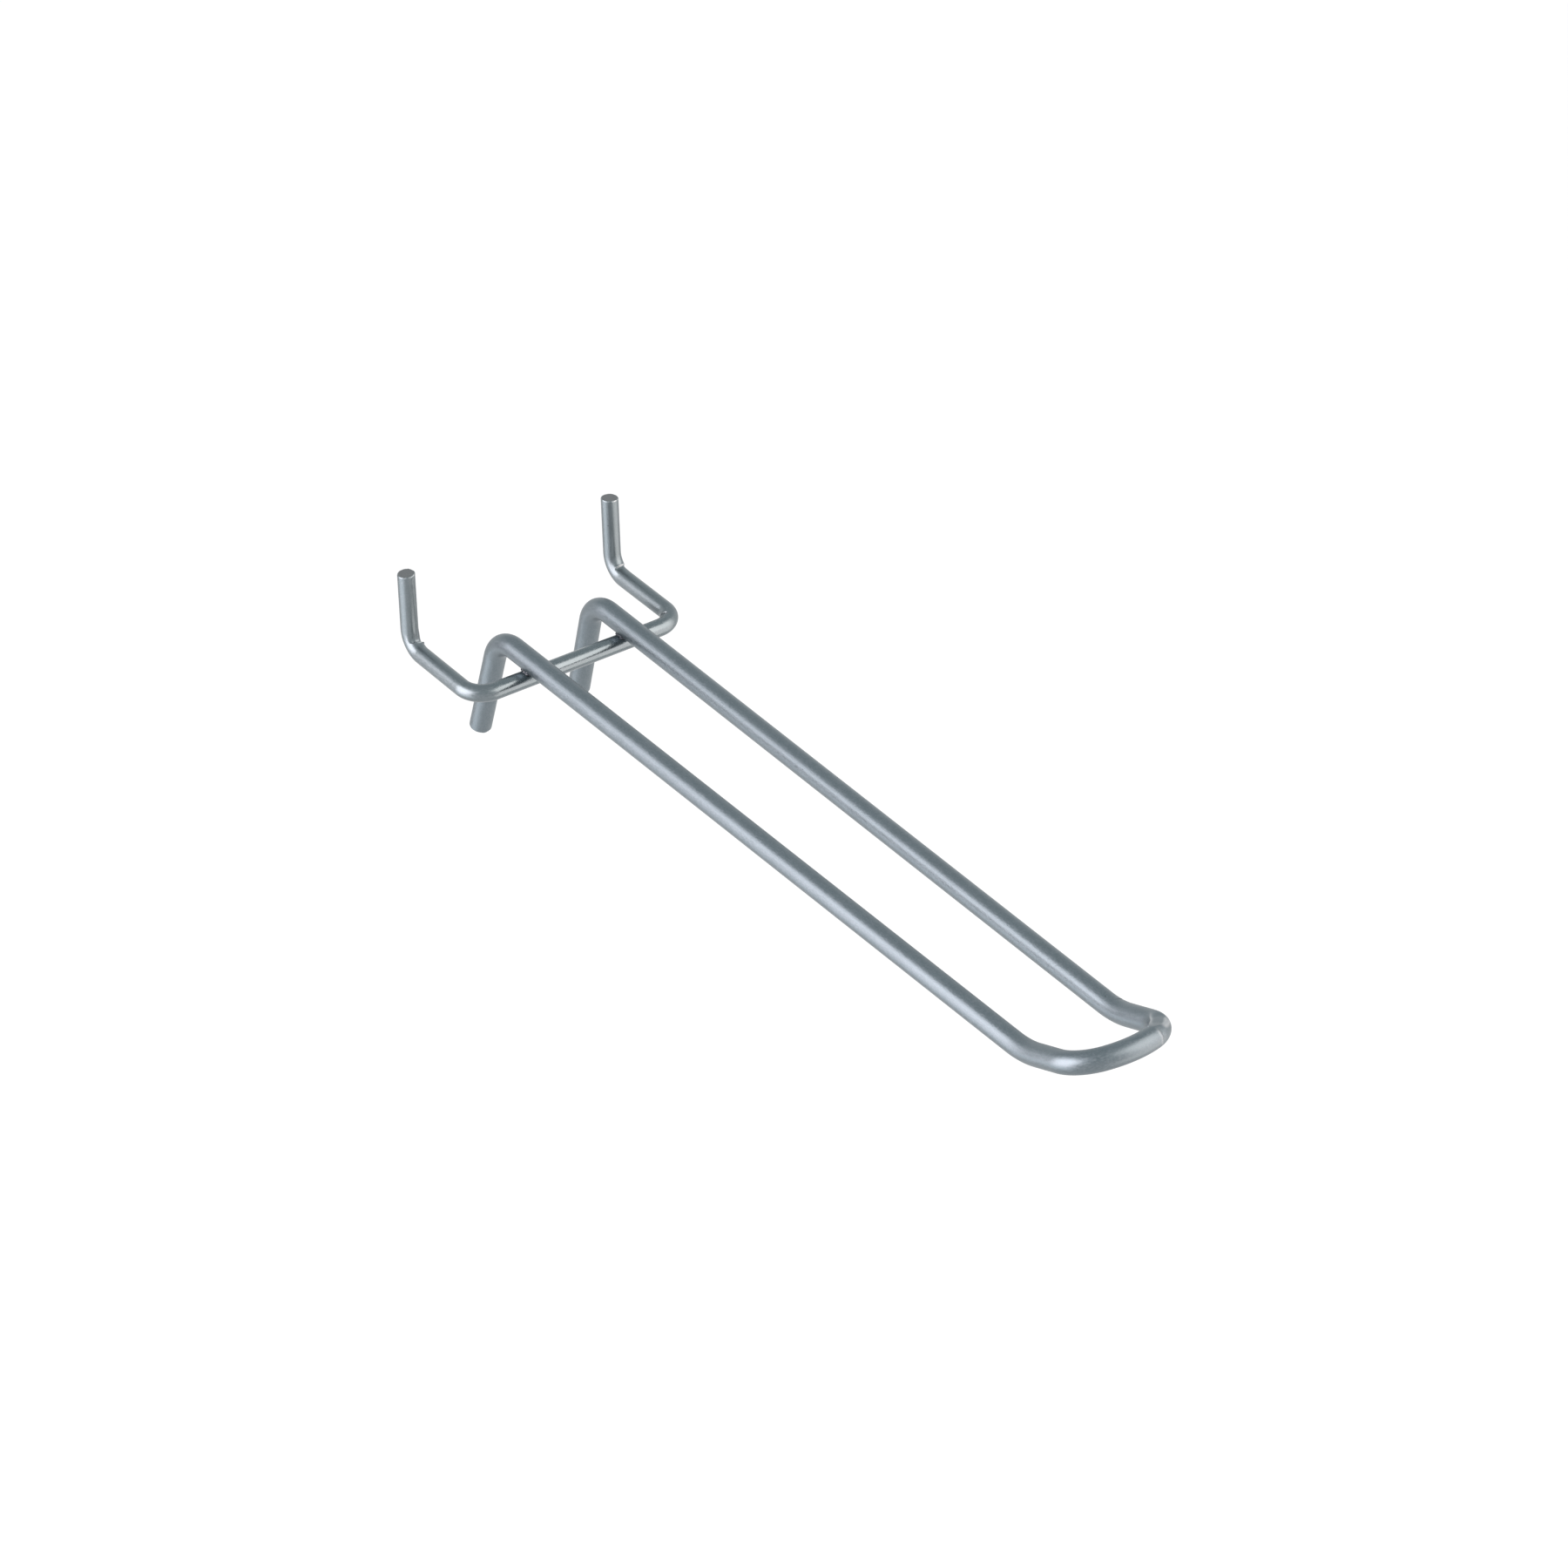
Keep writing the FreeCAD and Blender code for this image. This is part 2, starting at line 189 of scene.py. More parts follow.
def loop_route(loop, pegs):
    """The thick wire's guide, from the right foot over the nose to the left foot."""
    shoulder = shoulder_corner(loop, pegs)
    ahead = Vector((-math.sin(loop.arm_toe_in), -math.cos(loop.arm_toe_in), 0))
    down = Vector((math.sin(loop.leg_splay), 0, -math.cos(loop.leg_splay)))
    foot = shoulder + loop.leg_length * (math.cos(loop.leg_lean) * down - math.sin(loop.leg_lean) * ahead)
    tangent = loop.rise_radius * math.tan(loop.rise_angle / 2)
    rise = shoulder + ahead * (loop.arm_run + tangent)
    slope = math.cos(loop.rise_angle) * ahead + math.sin(loop.rise_angle) * UP
    climb = Vector((0, slope.y, slope.z)).normalized()
    start = rise + slope * tangent

    # In the nose's own plane: x across, y up the slope from the end of the rise
    heading = Vector((slope.x, slope.dot(climb)))
    inwards = Vector((-heading.y, heading.x))
    front_middle = Vector((0, loop.nose_depth - loop.nose_front_radius))
    between = loop.nose_front_radius - loop.nose_corner_radius
    offset = Vector((start.x, 0)) + inwards * loop.nose_corner_radius - front_middle
    run = math.sqrt(offset.dot(heading) ** 2 - offset.dot(offset) + between**2) - offset.dot(heading)
    meet = offset + heading * run
    sweep = math.atan2(meet.x, meet.y)
    turn = math.pi / 2 - sweep - math.asin(-heading.x)
    corner = Vector((start.x, 0)) + heading * (run + loop.nose_corner_radius * math.tan(turn / 2))
    nose = ACROSS * corner.x + start - ACROSS * start.x + climb * corner.y
    apex_rise = front_middle.y + loop.nose_front_radius / math.cos(sweep)
    apex = start - ACROSS * start.x + climb * apex_rise

    half = [foot, shoulder, rise, nose]
    radii = [0.0, loop.shoulder_radius, loop.rise_radius, loop.nose_corner_radius]
    points = half + [apex] + [mirrored(point) for point in reversed(half)]
    return corner_route(points, radii + [loop.nose_front_radius] + radii[::-1])


def crossbar_place(loop, pegs):
    return shoulder_corner(loop, pegs).y - pegs.setback


def peg_route(loop, pegs):
    """The thin wire's guide, from the right tip to the left tip."""
    side, bar = pegs.peg_spacing / 2, crossbar_place(loop, pegs)
    bend = Vector((side, pegs.board_throat + pegs.wire_diameter / 2, 0))
    tip = bend + pegs.upright_length * Vector((0, math.sin(pegs.upright_lean), math.cos(pegs.upright_lean)))
    half = [tip, bend, Vector((side, bar, 0))]
    radii = [0.0, pegs.upright_bend_radius, pegs.corner_radius]
    return corner_route(half + [mirrored(point) for point in reversed(half)], radii + radii[::-1])


def upright_bend(pegs, side, share):
    """The axis in an upright's bend, at a share of the way from the peg up to the straight upright."""
    radius = pegs.upright_bend_radius
    tangent = radius * math.tan(math.pi / 4 - pegs.upright_lean / 2)
    start = pegs.board_throat + pegs.wire_diameter / 2 - tangent
    turned = share * (math.pi / 2 - pegs.upright_lean)
    height = radius * (1 - math.cos(turned))
    return Vector((side * pegs.peg_spacing / 2, start + radius * math.sin(turned), height))


def crossbar_corner(loop, pegs, side, share):
    """The axis in a corner of the crossbar, at a share of the way from the crossbar to the peg."""
    radius, turned = pegs.corner_radius, share * math.pi / 2
    across = pegs.peg_spacing / 2 - radius * (1 - math.sin(turned))
    return Vector((side * across, crossbar_place(loop, pegs) + radius * (1 - math.cos(turned)), 0))


def add(tree, kind, inputs=None, **settings):
    """A node with its settings made and its sockets filled, by a value or by another node's output."""
    node = tree.nodes.new(kind)
    for name, value in settings.items():
        setattr(node, name, value)
    for name, value in (inputs or {}).items():
        if isinstance(value, bpy.types.NodeSocket):
            tree.links.new(value, node.inputs[name])
        else:
            node.inputs[name].default_value = value
    return node


def sockets(tree, direction, kinds):
    for name, kind in kinds.items():
        tree.interface.new_socket(name, in_out=direction, socket_type=f"NodeSocket{kind}")


def math_node(tree, operation, first, second=0.0, third=0.0):
    inputs = {0: first, 1: second, 2: third}
    return add(tree, "ShaderNodeMath", inputs, operation=operation).outputs[0]


def map_range(tree, value, low=0.0, high=1.0, start=0.0, end=1.0):
    """Turns a value that runs from low to high into one that runs from start to end."""
    limits = {"From Min": low, "From Max": high, "To Min": start, "To Max": end}
    return add(tree, "ShaderNodeMapRange", {"Value": value} | limits).outputs["Result"]


def blend_colour(tree, share, first, second):
    return add(tree, "ShaderNodeMix", {0: share, 6: first, 7: second}, data_type="RGBA").outputs[2]


def bent_wire_tree():
    """Rounds a guide's corners, sweeps a round wire along it and notes each point's place on the wire."""
    tree = bpy.data.node_groups.new("Bent wire", "GeometryNodeTree")
    sizes = {"Wire diameter": "Float", "Bend step": "Float", "Run step": "Float", "Sides": "Int"}
    sockets(tree, "INPUT", {"Geometry": "Geometry"} | sizes | {"Material": "Material"})
    sockets(tree, "OUTPUT", {"Geometry": "Geometry"})
    given = tree.nodes.new("NodeGroupInput").outputs

    def named(name, kind):
        node = add(tree, "GeometryNodeInputNamedAttribute", data_type=kind)
        node.inputs["Name"].default_value = name
        return node.outputs["Attribute"]

    def noted(geometry, name, kind, value):
        node = add(
            tree, "GeometryNodeStoreNamedAttribute", {"Geometry": geometry, "Value": value}, data_type=kind
        )
        node.inputs["Name"].default_value = name
        return node.outputs["Geometry"]

    curve = add(tree, "GeometryNodeMeshToCurve", {"Mesh": given["Geometry"]}).outputs["Curve"]
    steps = math_node(tree, "DIVIDE", named("bend_length", "FLOAT"), given["Bend step"])
    rings = math_node(tree, "CEIL", steps)
    rounded = add(
        tree,
        "GeometryNodeFilletCurve",
        {"Curve": curve, "Count": rings, "Radius": named("bend_radius", "FLOAT"), "Limit Radius": False},
        mode="POLY",
    ).outputs["Curve"]
    following = add(tree, "GeometryNodeOffsetPointInCurve", {"Offset": 1}).outputs["Point Index"]
    position = add(tree, "GeometryNodeInputPosition").outputs["Position"]
    ahead = add(
        tree, "GeometryNodeFieldAtIndex", {"Index": following, "Value": position}, data_type="FLOAT_VECTOR"
    ).outputs["Value"]
    gap = add(tree, "ShaderNodeVectorMath", {0: position, 1: ahead}, operation="DISTANCE").outputs["Value"]
    cuts = math_node(tree, "FLOOR", math_node(tree, "DIVIDE", gap, given["Run step"]))
    axis = add(tree, "GeometryNodeSubdivideCurve", {"Curve": rounded, "Cuts": cuts}).outputs["Curve"]
    spline = add(tree, "GeometryNodeSplineParameter").outputs
    axis = noted(axis, "along", "FLOAT", spline["Length"])
    axis = noted(axis, "axis", "FLOAT_VECTOR", position)

    radius = math_node(tree, "DIVIDE", given["Wire diameter"], 2.0)
    section = add(
        tree, "GeometryNodeCurvePrimitiveCircle", {"Resolution": given["Sides"], "Radius": radius}
    ).outputs["Curve"]
    section = noted(section, "section", "FLOAT_VECTOR", position)
    wire = add(
        tree, "GeometryNodeCurveToMesh", {"Curve": axis, "Profile Curve": section, "Fill Caps": True}
    ).outputs["Mesh"]
    across = add(tree, "ShaderNodeSeparateXYZ", {0: named("section", "FLOAT_VECTOR")}).outputs
    place = {0: across[0], 1: across[1], 2: named("along", "FLOAT")}
    grain = add(tree, "ShaderNodeCombineXYZ", place).outputs[0]
    wire = noted(wire, "grain", "FLOAT_VECTOR", grain)
    wire = add(tree, "GeometryNodeSetShadeSmooth", {"Geometry": wire}).outputs["Geometry"]
    wire = add(tree, "GeometryNodeRealizeInstances", {"Geometry": wire}).outputs["Geometry"]
    wire = add(
        tree, "GeometryNodeSetMaterial", {"Geometry": wire, "Material": given["Material"]}
    ).outputs["Geometry"]
    add(tree, "NodeGroupOutput", {"Geometry": wire})
    return tree


def swept_wire(name, route, sizes, material):
    """The wire's mesh as one object, with its place on the wire kept in its points."""
    points, radii, bends = route
    guide = bpy.data.meshes.new(f"{name}_guide")
    guide.from_pydata(points, [(n, n + 1) for n in range(len(points) - 1)], [])
    for attribute, values in (("bend_radius", radii), ("bend_length", bends)):
        guide.attributes.new(attribute, "FLOAT", "POINT").data.foreach_set("value", values)
    wire = bpy.data.objects.new(name, guide)
    bpy.context.scene.collection.objects.link(wire)
    tree = bpy.data.node_groups.get("Bent wire") or bent_wire_tree()
    modifier = wire.modifiers.new("Bent wire", "NODES")
    modifier.node_group = tree
    given = {
        "Wire diameter": sizes.wire_diameter,
        "Bend step": sizes.bend_step,
        "Run step": sizes.run_step,
        "Sides": sizes.sides,
        "Material": material,
    }
    for socket in tree.interface.items_tree:
        if socket.in_out == "INPUT" and socket.name in given:
            modifier[socket.identifier] = given[socket.name]
    depsgraph = bpy.context.evaluated_depsgraph_get()
    mesh = bpy.data.meshes.new_from_object(
        wire.evaluated_get(depsgraph), preserve_all_data_layers=True, depsgraph=depsgraph
    )
    wire.modifiers.remove(modifier)
    wire.data = mesh
    if not mesh.polygons:
        raise RuntimeError(f"{name} was not swept")
    return wire


class Wire:
    """A swept wire opened for work on its points."""

    # The mesh of a cut end: its rings over the broken edge, the ring from which bare steel shows, and the
    # rings on the face, as shares of the radius
    EDGE_RINGS, BARE_RING = 6, 2
    FACE_RINGS = (0.75, 0.5, 0.25)

    # Noise on a cut end: how fine it is along the edge, for the chips and on the face, and the face's depth
    EDGE_WAVES, CHIP_WAVES, FACE_WAVES = 2.2, 2.9, 5
    FACE_DEPTH = 0.04 * MM

    def __init__(self, piece, radius):
        self.piece = piece
        self.radius = radius
        self.mesh = bmesh.new()
        self.mesh.from_mesh(piece.data)
        layers = self.mesh.verts.layers
        self.along = layers.float["along"]
        self.axis = layers.float_vector["axis"]
        self.grain = layers.float_vector["grain"]
        self.cut = layers.float.new("cut")
        self.heat = layers.float.new("heat")
        # Where tools rubbed the wire; it is lightened partly as bare metal and partly as a painted glint
        self.rub_glint = layers.float.new("rub_glint")
        self.shade = layers.float.new("shade")
        self.polish = layers.float.new("polish")

    def close(self):
        bmesh.ops.recalc_face_normals(self.mesh, faces=self.mesh.faces)
        for face in self.mesh.faces:
            face.smooth = True
        self.mesh.to_mesh(self.piece.data)
        self.mesh.free()

    def copy_place(self, source, target, share):
        """Carries a point's place on the wire over to a new one, at a share of its way from the axis."""
        target[self.along] = source[self.along]
        target[self.axis] = source[self.axis]
        grain = source[self.grain]
        target[self.grain] = Vector((grain.x * share, grain.y * share, grain.z))

    def cut_ends(self, rounding, slope, wander):
        """Gives both cut ends a chipped edge and a sheared face that is neither quite flat nor square."""
        caps = [face for face in self.mesh.faces if len(face.verts) > 4]
        for end, cap in enumerate(caps):
            rim = list(cap.verts)
            outwards = cap.normal.copy()
            middle = sum((vert.co for vert in rim), Vector()) / len(rim)
            self.mesh.faces.remove(cap)
            spokes = [(vert.co - middle) / self.radius for vert in rim]
            last = self.EDGE_RINGS - 1
            seed = Vector((end * 9.1, 0, 0))
            face_seed = Vector((end * 3.3, 2, 0))
            waves = [noise.noise(spoke * self.EDGE_WAVES + seed) for spoke in spokes]
            broken = [rounding * (1 + wander * wave) for wave in waves]
            chip_glints = [smooth(3 * noise.noise(spoke * self.CHIP_WAVES + seed * 2)) for spoke in spokes]
            tilt = [slope * spoke.dot(spokes[0]) for spoke in spokes]
            shape = []
            for step in range(self.EDGE_RINGS):
                bend = math.radians(90 * step / last)
                inset, rise = 1 - math.cos(bend), math.sin(bend) - 1
                shape.append([(self.radius - edge * inset, edge * rise) for edge in broken])
            for share in self.FACE_RINGS:
                shape.append([(self.radius * share, 0.0)] * len(rim))
            ring = rim
            for level, profile in enumerate(shape):
                new = ring if level == 0 else [self.mesh.verts.new() for _ in rim]
                for n, vert in enumerate(new):
                    across, depth = profile[n]
                    share = across / self.radius
                    wave = noise.noise(spokes[n] * share * self.FACE_WAVES + face_seed)
                    dimple = self.FACE_DEPTH * wave
                    vert.co = middle + spokes[n] * across + outwards * (depth + tilt[n] * share + dimple)
                    self.copy_place(rim[n], vert, share)
                    bare = (level - self.BARE_RING) / (last - self.BARE_RING)
                    vert[self.cut] = min(1.0, max(0.0, bare))
                    # Chips on the edge are lightened: partly bare metal, partly a painted glint
                    vert[self.rub_glint] = chip_glints[n] if 0 < level < last else 0.0
                if level:
                    for n in range(len(rim)):
                        m = (n + 1) % len(rim)
                        self.mesh.faces.new((ring[n], ring[m], new[m], new[n]))
                ring = new
            centre = self.mesh.verts.new(middle)
            self.copy_place(rim[0], centre, 0.0)
            centre[self.cut] = 1.0
            for n in range(len(rim)):
                self.mesh.faces.new((ring[n], ring[(n + 1) % len(rim)], centre))

    def station(self, point):
        """How far along the wire the axis passes nearest to a point."""
        nearest = min(self.mesh.verts, key=lambda vert: (vert[self.axis] - point).length_squared)
        return nearest[self.along]

    def near(self, point, towards, reach):
        """Each point within reach, with its way along the wire, its turn from that side and its spoke."""
        here = self.station(point)
        towards = towards.normalized()
        for vert in self.mesh.verts:
            ahead = vert[self.along] - here
            if abs(ahead) < reach:
                spoke = vert.co - vert[self.axis]
                if spoke.length > self.radius * 0.5:
                    yield vert, ahead, spoke.angle(towards), spoke.normalized()

    def polish_between(self, half, blend):
        """Marks the wire as smoother where its axis is less than half a span from the middle plane."""
        for vert in self.mesh.verts:
            vert[self.polish] = smooth((half - abs(vert[self.axis].x)) / blend)

    def warm(self, point, reach):
        """Marks the heat that spread from a weld."""
        for vert in self.mesh.verts:
            away = (vert.co - point).length / reach
            vert[self.heat] = max(vert[self.heat], 1 - away)


def smooth(value):
    value = min(1.0, max(0.0, value))
    return value * value * (3 - 2 * value)


# A tool's step: the share of its spread over which it fades out, how fine its line wanders, and how far
# before the step its lip and its rubbed line with a painted glint lie, in widths of its edge
STEP_FADE, STEP_WAVES, LIP_PLACE, RUB_GLINT_PLACE = 0.45, 3.1, 0.5, 0.2


def tool_step(
    wire,
    point,
    towards,
    forwards,
    depth,
    lip,
    run_out,
    spread,
    skew=(0, 0, 0),
    edge=0.14 * MM,
    ragged=0.1 * MM,
    painted_glint=1.0,
):
    """A bending tool's edge pressed across one side of the wire: a sharp step, a lip and a long run-out.

    Forwards is 1 or -1: the side of the step, along the wire, on which the surface is pressed in. The skew
    turns the step's line: it is how far the line shifts along the wire, for each radius that the surface
    lies further in the skew's direction. Ragged is how far the line wanders, and painted_glint how brightly
    the line is painted: partly rubbed metal, partly a painted glint of light on the lip.
    """
    middle = towards.normalized()
    skew = Vector(skew)
    for vert, ahead, turn, spoke in wire.near(point, towards, run_out * 1.1 + skew.length):
        window = smooth((spread - turn) / (STEP_FADE * spread))
        if window == 0:
            continue
        wander = ragged * noise.noise(spoke * STEP_WAVES + point * 900)
        ahead = (ahead - wander - (spoke - middle).dot(skew)) * forwards
        pressed = depth * smooth(ahead / edge) * (1 - smooth(ahead / run_out))
        raised = lip * math.exp(-((ahead / edge + LIP_PLACE) ** 2) * 2)
        vert.co += spoke * (raised - pressed) * window
        # The line is lightened as rubbed metal and as a painted glint of light on the lip
        rubbed_glint = painted_glint * window * math.exp(-((ahead / edge + RUB_GLINT_PLACE) ** 2))
        vert[wire.rub_glint] = max(vert[wire.rub_glint], rubbed_glint)


# A flat: how wide the burr along its edge is, and how deep it has to be pressed in for its painted glint to
# be full
BURR_WIDTH, BRIGHT_DEPTH = 0.17 * MM, 0.06 * MM


def die_flat(wire, point, towards, depth, lip, burred, reach, taper, painted_glint=0.0):
    """A flat that a die pressed into one side of the wire, with a thin burr along its burred edge.

    Reach is how far the flat keeps its depth to each side of the point, along the wire, and taper how far it
    takes to fade beyond that. The burr and, by painted_glint, the pressed face are lightened: partly rubbed
    metal, partly a painted glint.
    """
    towards = towards.normalized()
    for vert, ahead, turn, spoke in wire.near(point, towards, reach + taper):
        pressed = depth * (1 - smooth((abs(ahead) - reach) / taper))
        over = (vert.co - vert[wire.axis]).dot(towards) - (wire.radius - pressed)
        if turn > math.pi / 2 or pressed == 0:
            continue
        vert.co -= towards * max(0.0, over)
        burr = math.exp(-((over / BURR_WIDTH) ** 2)) * pressed / depth * smooth(spoke.dot(burred) * 3)
        vert.co += spoke * lip * burr
        # Lightens the burr and the pressed face: partly rubbed metal, partly a painted glint
        vert[wire.rub_glint] = max(vert[wire.rub_glint], burr, painted_glint * smooth(over / BRIGHT_DEPTH))


def nick(wire, point, towards, depth, width, spread):
    """A small dent across one side of the wire."""
    for vert, ahead, turn, spoke in wire.near(point, towards, width * 3):
        share = math.exp(-((ahead / width) ** 2) - (turn / spread) ** 2)
        vert.co -= spoke * depth * share
        # Paints shade into the dent
        vert[wire.shade] = max(vert[wire.shade], share)


# Materials

# The grain: its stretch along the wire, its scales per metre, and where its sparkle and its pits set in
CRYSTAL_STRETCH, LINE_STRETCH = 0.7, 0.02
CLOUD_SCALE, PIT_SCALE = 230.0, 190.0
SPARKLE_LIMITS, PIT_LIMITS, SPECK_LIMITS = (0.42, 0.7), (0.035, 0.02), (0.72, 0.95)

# Colours over the plating's own, and how strongly they show
CLOUD_DARK, CLOUD_LIGHT = 0.93, 1.07
FLECK_COLOUR, FLECK_STRENGTH = (0.6, 0.6, 0.65, 1), 0.09
# The pit colour is painted shade: it darkens the grain's pits and the dents of nicks
PIT_SHADE_COLOUR, PIT_SHADE_STRENGTH = (0.03, 0.032, 0.036, 1), 0.7
# The rubbed colour is partly rubbed bare metal and partly a painted glint on tool lines, burrs and chips
RUB_GLINT_COLOUR, RUB_GLINT_STRENGTH = (0.66, 0.67, 0.68, 1), 0.5
BROWN_STRENGTH, BROWN_LIMITS = 0.7, (0.12, 0.85)
BURNT_COLOUR, BURNT_LIMITS = (0.155, 0.15, 0.15, 1), (0.66, 0.95)

# Shares of the plating's roughness, what a cut adds to it, and what polish takes from it and the relief
PLAIN_ROUGHNESS, CRYSTAL_ROUGHNESS = 0.85, 1.2
CUT_ROUGHNESS, POLISH_ROUGHNESS, POLISH_RELIEF = 0.2, 0.12, 0.45


def cleared(collection, name):
    """A new material or world, and its tree with no nodes in it."""
    block = collection.new(name)
    block.use_nodes = True
    block.node_tree.nodes.clear()
    return block, block.node_tree


def new_metal(name):
    material, tree = cleared(bpy.data.materials, name)
    surface = add(tree, "ShaderNodeBsdfPrincipled", {"Metallic": 1.0})
    add(tree, "ShaderNodeOutputMaterial", {"Surface": surface.outputs[0]})
    return material, tree, surface


def value_group(name, inputs, outputs):
    tree = bpy.data.node_groups.new(name, "ShaderNodeTree")
    sockets(tree, "INPUT", inputs)
    sockets(tree, "OUTPUT", outputs)
    return tree, tree.nodes.new("NodeGroupInput").outputs


def use_group(tree, name, build, inputs):
    """The outputs of a shader group, which is built when it is first used."""
    node_tree = bpy.data.node_groups.get(name) or build()
    return add(tree, "ShaderNodeGroup", inputs, node_tree=node_tree).outputs


def plating_group():
    """Grain of drawn and plated wire: fine lines along it, crystals all over it, and a few pits."""
    tree, given = value_group(
        "Plating grain",
        {"Place": "Vector", "Crystal size": "Float", "Lines": "Float"},
        {"Height": "Float", "Sparkle": "Float", "Cloud": "Float", "Pit": "Float"},
    )

    def stretched(share):
        factors = {0: given["Place"], 1: (1, 1, share)}
        return add(tree, "ShaderNodeVectorMath", factors, operation="MULTIPLY").outputs[0]

    def clouds(vector, scale, **inputs):
        return add(tree, "ShaderNodeTexNoise", {"Vector": vector, "Scale": scale} | inputs).outputs["Fac"]

    scale = math_node(tree, "DIVIDE", 1.0, given["Crystal size"])
    crystals = clouds(stretched(CRYSTAL_STRETCH), scale, Detail=2.0, Roughness=0.55)
    lines = clouds(stretched(LINE_STRETCH), scale, Detail=2.0)
    cloud = clouds(given["Place"], CLOUD_SCALE, Detail=3.0)
    cells = add(tree, "ShaderNodeTexVoronoi", {"Vector": given["Place"], "Scale": PIT_SCALE})
    pit = map_range(tree, cells.outputs["Distance"], *PIT_LIMITS)
    height = add(
        tree, "ShaderNodeMix", {"Factor": given["Lines"], "A": crystals, "B": lines}, data_type="FLOAT"
    ).outputs["Result"]
    height = math_node(tree, "SUBTRACT", height, pit)
    sparkle = map_range(tree, crystals, *SPARKLE_LIMITS)
    add(tree, "NodeGroupOutput", {"Height": height, "Sparkle": sparkle, "Cloud": cloud, "Pit": pit})
    return tree


def heat_group():
    """Colour of steel that was heated next to a weld: first brown, then a dull dark grey."""
    inputs = {"Colour": "Color", "Tint": "Color", "Heat": "Float"}
    tree, given = value_group("Heat tint", inputs, {"Colour": "Color"})
    brown = map_range(tree, given["Heat"], *BROWN_LIMITS, end=BROWN_STRENGTH)
    tinted = blend_colour(tree, brown, given["Colour"], given["Tint"])
    burnt = map_range(tree, given["Heat"], *BURNT_LIMITS)
    add(tree, "NodeGroupOutput", {"Colour": blend_colour(tree, burnt, tinted, BURNT_COLOUR)})
    return tree


def grained(tree, place, crystal, lines):
    """The plating's grain at a place, for a size of its crystals and a share of drawn lines."""
    inputs = {"Place": place, "Crystal size": crystal, "Lines": lines}
    return use_group(tree, "Plating grain", plating_group, inputs)


def give_relief(tree, surface, height, distance):
    bump = add(tree, "ShaderNodeBump", {"Height": height, "Strength": 1.0, "Distance": distance})
    tree.links.new(bump.outputs[0], surface.inputs["Normal"])


def plated(name, tone, roughness, crystal, lines, relief, finish):
    """Zinc plating on drawn wire, bare at the cut ends, rubbed by tools and tinted by the welds."""
    material, tree, surface = new_metal(name)

    def read(attribute, output="Fac"):
        return add(tree, "ShaderNodeAttribute", attribute_name=attribute).outputs[output]

    def part_of(value, strength):
        return math_node(tree, "MULTIPLY", value, strength)

    grain = grained(tree, read("grain", "Vector"), crystal, lines)
    darker = [part * CLOUD_DARK for part in tone] + [1]
    lighter = [min(1.0, part * CLOUD_LIGHT) for part in tone] + [1]
    clouded = blend_colour(tree, grain["Cloud"], darker, lighter)
    flecked = blend_colour(tree, part_of(grain["Sparkle"], FLECK_STRENGTH), clouded, FLECK_COLOUR)
    # Painted shade: near black in the grain's pits and in nicks
    shaded = math_node(tree, "MAXIMUM", part_of(grain["Pit"], PIT_SHADE_STRENGTH), read("shade"))
    pit_shaded = blend_colour(tree, shaded, flecked, PIT_SHADE_COLOUR)
    # Lightens rubbed places: partly bare metal, partly painted glints on tool lines, burrs and chipped edges
    rubbed_glint = blend_colour(tree, part_of(read("rub_glint"), RUB_GLINT_STRENGTH), pit_shaded, RUB_GLINT_COLOUR)
    inputs = {"Colour": rubbed_glint, "Tint": (*finish.heat_colour, 1), "Heat": read("heat")}
    heated = use_group(tree, "Heat tint", heat_group, inputs)["Colour"]
    bare = blend_colour(tree, read("cut"), heated, (*finish.cut_colour, 1))
    tree.links.new(bare, surface.inputs["Base Color"])

    plain, crystalline = roughness * PLAIN_ROUGHNESS, roughness * CRYSTAL_ROUGHNESS
    rough = map_range(tree, grain["Sparkle"], start=plain, end=crystalline)
    rough = math_node(tree, "ADD", rough, part_of(read("cut"), CUT_ROUGHNESS))
    rough = math_node(tree, "SUBTRACT", rough, part_of(read("polish"), POLISH_ROUGHNESS))
    tree.links.new(rough, surface.inputs["Roughness"])
    left = math_node(tree, "SUBTRACT", 1.0, part_of(read("polish"), POLISH_RELIEF))
    give_relief(tree, surface, part_of(grain["Height"], left), relief)
    return material


def weld_material(finish):
    """Burnt, lumpy weld metal with bright specks where it was rubbed."""
    material, tree, surface = new_metal("weld_metal")
    place = add(tree, "ShaderNodeTexCoord").outputs["Object"]
    grain = grained(tree, place, crystal=0.45 * MM, lines=0.0)
    specks = map_range(tree, grain["Sparkle"], *SPECK_LIMITS)
    tone = blend_colour(tree, specks, (*finish.weld_colour, 1), (*finish.weld_bright, 1))
    tree.links.new(tone, surface.inputs["Base Color"])
    rough = map_range(tree, specks, start=0.5, end=0.22)
    tree.links.new(rough, surface.inputs["Roughness"])
    give_relief(tree, surface, grain["Height"], distance=0.05 * MM)
    return material


# Pieces

# How fine the welds' large and small lumps are
COARSE_LUMPS, FINE_LUMPS = 2.3, 6.0


def keep(piece, node):
    """Puts a finished piece in the place of its CAD node."""
    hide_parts(node)
    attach(piece, "root")


def crossing(loop, pegs, side):
    """The middle of a weld, between the arm and the crossbar."""
    bar = crossbar_place(loop, pegs)
    across = loop.arm_spacing / 2 - pegs.setback * math.tan(loop.arm_toe_in)
    return Vector((side * across, bar, (pegs.wire_diameter - loop.weld_sink) / 2))


